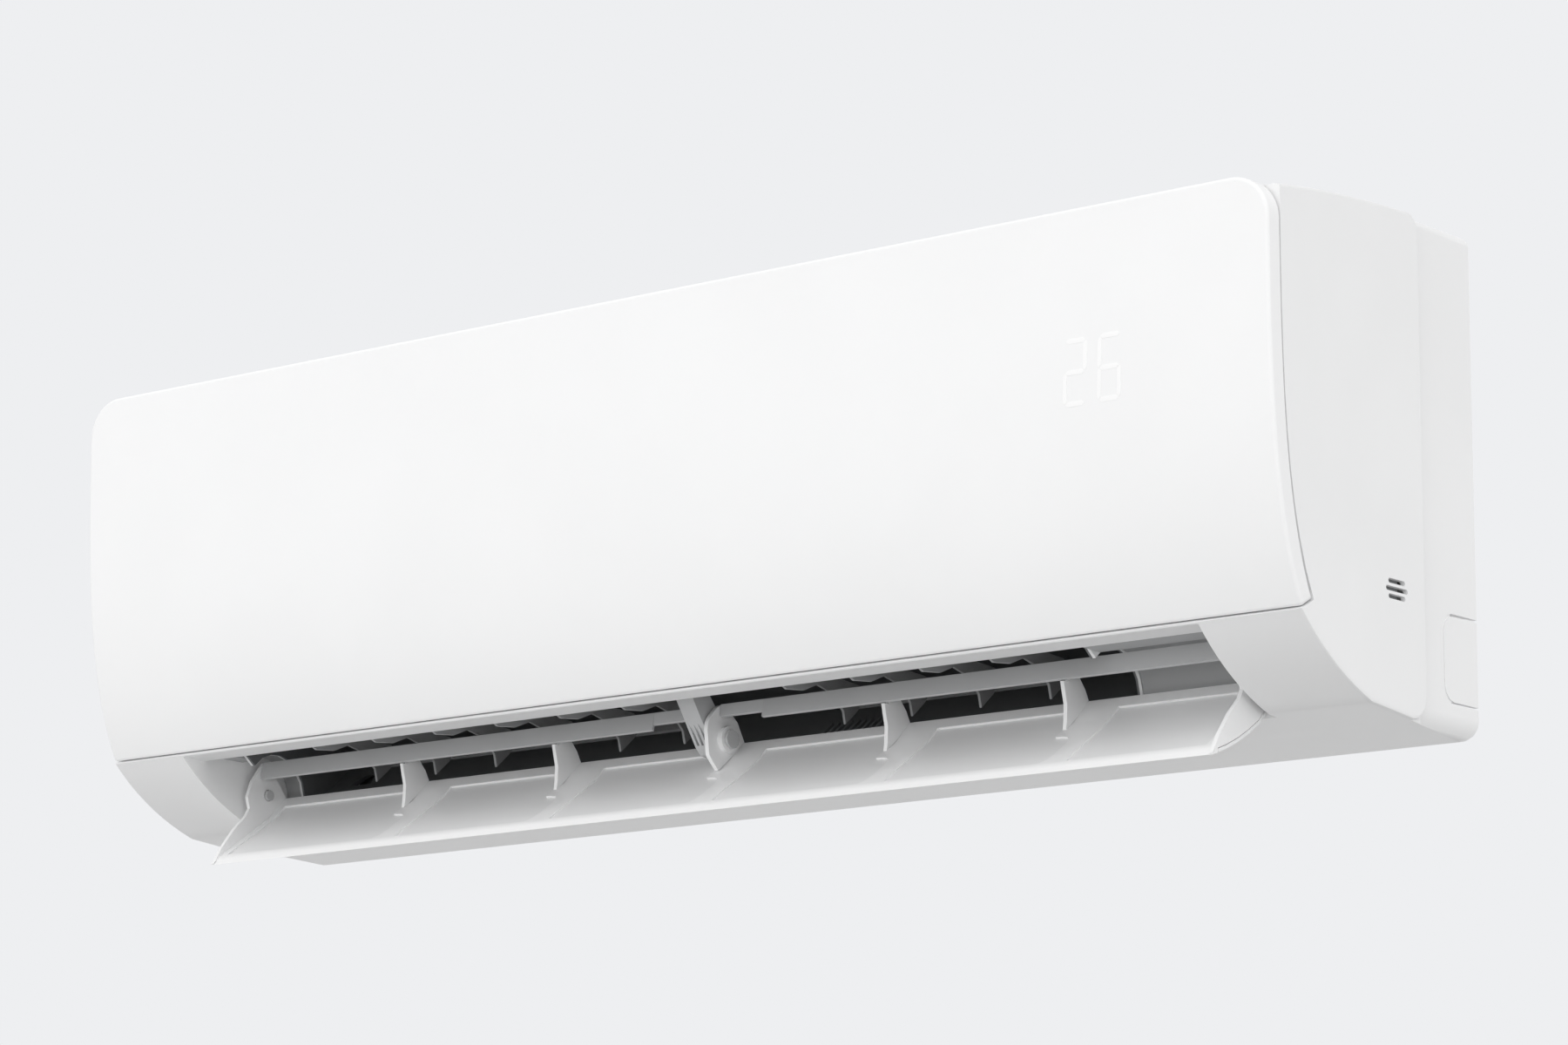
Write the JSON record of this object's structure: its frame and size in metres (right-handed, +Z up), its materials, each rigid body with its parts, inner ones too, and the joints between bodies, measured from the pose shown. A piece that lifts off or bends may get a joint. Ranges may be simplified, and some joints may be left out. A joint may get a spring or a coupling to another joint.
{
  "type": "wall-mounted air conditioner indoor unit",
  "caption": "Wall-mounted mini split indoor unit with a plain curved front panel, an open swing louver, upright vanes in the outlet, crossflow fan, evaporator and drive parts inside",
  "frame": {"origin": "middle of the mounting plate's wall face: centre of the width, on the wall, 150 mm above the lowest edge of the cabinet", "axes": "X to the right seen from the front, -Y out of the wall towards the viewer, Z up"},
  "size_m": [0.779, 0.187, 0.2667],
  "materials": {
    "casing_white": "satin gloss",
    "duct_grey": "fine texture",
    "dark_plastic": "matte",
    "steel": "galvanised sheet",
    "copper": "drawn copper",
    "brass": "turned",
    "fin_aluminium": "thin sheet",
    "circuit_board": "laminate",
    "rubber": "moulded"
  },
  "bodies": {
    "cabinet": {"front_casing": "casing_white", "rear_chassis": "casing_white", "drip_tray": "duct_grey", "filter_left": "duct_grey", "filter_right": "duct_grey", "bearing_holder": "duct_grey", "louver_bush": "duct_grey", "louver_arm": "duct_grey", "louver_pin": "duct_grey", "electrical_box": "duct_grey", "electrical_box_cover": "duct_grey", "room_sensor": "duct_grey", "drain_spigot": "duct_grey", "pipe_holder": "duct_grey", "terminal_block": "dark_plastic", "display_board": "dark_plastic", "fan_motor": "steel", "motor_bracket": "steel", "louver_motor": "steel", "mounting_plate": "steel", "gas_pipe": "copper", "liquid_pipe": "copper", "coil_sensor": "copper", "gas_flare_nut": "brass", "liquid_flare_nut": "brass", "evaporator_lower": "fin_aluminium", "evaporator_upper": "fin_aluminium", "evaporator_rear": "fin_aluminium", "coil_end_plate_left": "fin_aluminium", "coil_end_plate_right": "fin_aluminium", "control_board": "circuit_board", "aux_switch": "circuit_board", "fan_bearing": "rubber"},
    "front_panel": {"front_panel": "casing_white"},
    "louver": {"louver_skin": "casing_white", "louver_frame": "casing_white", "louver_blade_left": "duct_grey", "louver_blade_right": "duct_grey", "louver_motor_shaft": "steel"},
    "fan": {"crossflow_fan": "dark_plastic", "fan_shaft_left": "steel", "motor_shaft": "steel"},
    "aux_button": {"aux_button": "casing_white"},
    "vane_left_1": {"vane_left_1": "duct_grey"},
    "vane_left_2": {"vane_left_2": "duct_grey"},
    "vane_left_3": {"vane_left_3": "duct_grey"},
    "vane_left_4": {"vane_left_4": "duct_grey"},
    "vane_left_5": {"vane_left_5": "duct_grey"},
    "vane_left_6": {"vane_left_6": "duct_grey"},
    "vane_right_1": {"vane_right_1": "duct_grey"},
    "vane_right_2": {"vane_right_2": "duct_grey"},
    "vane_right_3": {"vane_right_3": "duct_grey"},
    "vane_right_4": {"vane_right_4": "duct_grey"},
    "link_bar_left": {"link_bar_left": "duct_grey"},
    "link_bar_right": {"link_bar_right": "duct_grey"}
  },
  "joints": [
    {"name": "panel_hinge", "type": "hinge", "parent": "cabinet", "child": "front_panel", "pos_m": [0, -0.1765, 0.092], "axis": [-1, 0, 0], "range_deg": [0, 60]},
    {"name": "louver_hinge", "type": "hinge", "parent": "cabinet", "child": "louver", "pos_m": [0, -0.1035, -0.123], "axis": [1, 0, 0], "range_deg": [-60, 0]},
    {"name": "fan_spin", "type": "hinge", "parent": "cabinet", "child": "fan", "pos_m": [0, -0.088, -0.047], "axis": [1, 0, 0], "continuous": true},
    {"name": "vane_left_1_turn", "type": "hinge", "parent": "cabinet", "child": "vane_left_1", "pos_m": [-0.267, -0.13607, -0.09086], "axis": [0, 0.8413, -0.5406], "range_deg": [-35, 35]},
    {"name": "vane_left_2_turn", "type": "hinge", "parent": "cabinet", "child": "vane_left_2", "pos_m": [-0.2227, -0.13607, -0.09086], "axis": [0, 0.8413, -0.5406], "range_deg": [-35, 35]},
    {"name": "vane_left_3_turn", "type": "hinge", "parent": "cabinet", "child": "vane_left_3", "pos_m": [-0.1784, -0.13607, -0.09086], "axis": [0, 0.8413, -0.5406], "range_deg": [-35, 35]},
    {"name": "vane_left_4_turn", "type": "hinge", "parent": "cabinet", "child": "vane_left_4", "pos_m": [-0.1341, -0.13607, -0.09086], "axis": [0, 0.8413, -0.5406], "range_deg": [-35, 35]},
    {"name": "vane_left_5_turn", "type": "hinge", "parent": "cabinet", "child": "vane_left_5", "pos_m": [-0.0898, -0.13607, -0.09086], "axis": [0, 0.8413, -0.5406], "range_deg": [-35, 35]},
    {"name": "vane_left_6_turn", "type": "hinge", "parent": "cabinet", "child": "vane_left_6", "pos_m": [-0.0455, -0.13607, -0.09086], "axis": [0, 0.8413, -0.5406], "range_deg": [-35, 35]},
    {"name": "link_bar_left_turn", "type": "hinge", "parent": "vane_left_1", "child": "link_bar_left", "pos_m": [-0.267, -0.06511, -0.10436], "axis": [0, 0.8413, -0.5406], "range_deg": [-35, 35]},
    {"name": "vane_right_1_turn", "type": "hinge", "parent": "cabinet", "child": "vane_right_1", "pos_m": [0.061, -0.13607, -0.09086], "axis": [0, 0.8413, -0.5406], "range_deg": [-35, 35]},
    {"name": "vane_right_2_turn", "type": "hinge", "parent": "cabinet", "child": "vane_right_2", "pos_m": [0.104, -0.13607, -0.09086], "axis": [0, 0.8413, -0.5406], "range_deg": [-35, 35]},
    {"name": "vane_right_3_turn", "type": "hinge", "parent": "cabinet", "child": "vane_right_3", "pos_m": [0.147, -0.13607, -0.09086], "axis": [0, 0.8413, -0.5406], "range_deg": [-35, 35]},
    {"name": "vane_right_4_turn", "type": "hinge", "parent": "cabinet", "child": "vane_right_4", "pos_m": [0.19, -0.13607, -0.09086], "axis": [0, 0.8413, -0.5406], "range_deg": [-35, 35]},
    {"name": "link_bar_right_turn", "type": "hinge", "parent": "vane_right_1", "child": "link_bar_right", "pos_m": [0.061, -0.06511, -0.10436], "axis": [0, 0.8413, -0.5406], "range_deg": [-35, 35]},
    {"name": "aux_button_press", "type": "slide", "parent": "cabinet", "child": "aux_button", "axis": [0, 1, 0], "range_m": [0, 0.001], "stiffness_N_per_m": 1500}
  ],
  "couplings": [
    {"joint": "vane_left_2_turn", "follows": "vane_left_1_turn", "ratio": 1},
    {"joint": "vane_left_3_turn", "follows": "vane_left_1_turn", "ratio": 1},
    {"joint": "vane_left_4_turn", "follows": "vane_left_1_turn", "ratio": 1},
    {"joint": "vane_left_5_turn", "follows": "vane_left_1_turn", "ratio": 1},
    {"joint": "vane_left_6_turn", "follows": "vane_left_1_turn", "ratio": 1},
    {"joint": "link_bar_left_turn", "follows": "vane_left_1_turn", "ratio": -1},
    {"joint": "vane_right_2_turn", "follows": "vane_right_1_turn", "ratio": 1},
    {"joint": "vane_right_3_turn", "follows": "vane_right_1_turn", "ratio": 1},
    {"joint": "vane_right_4_turn", "follows": "vane_right_1_turn", "ratio": 1},
    {"joint": "link_bar_right_turn", "follows": "vane_right_1_turn", "ratio": -1}
  ]
}
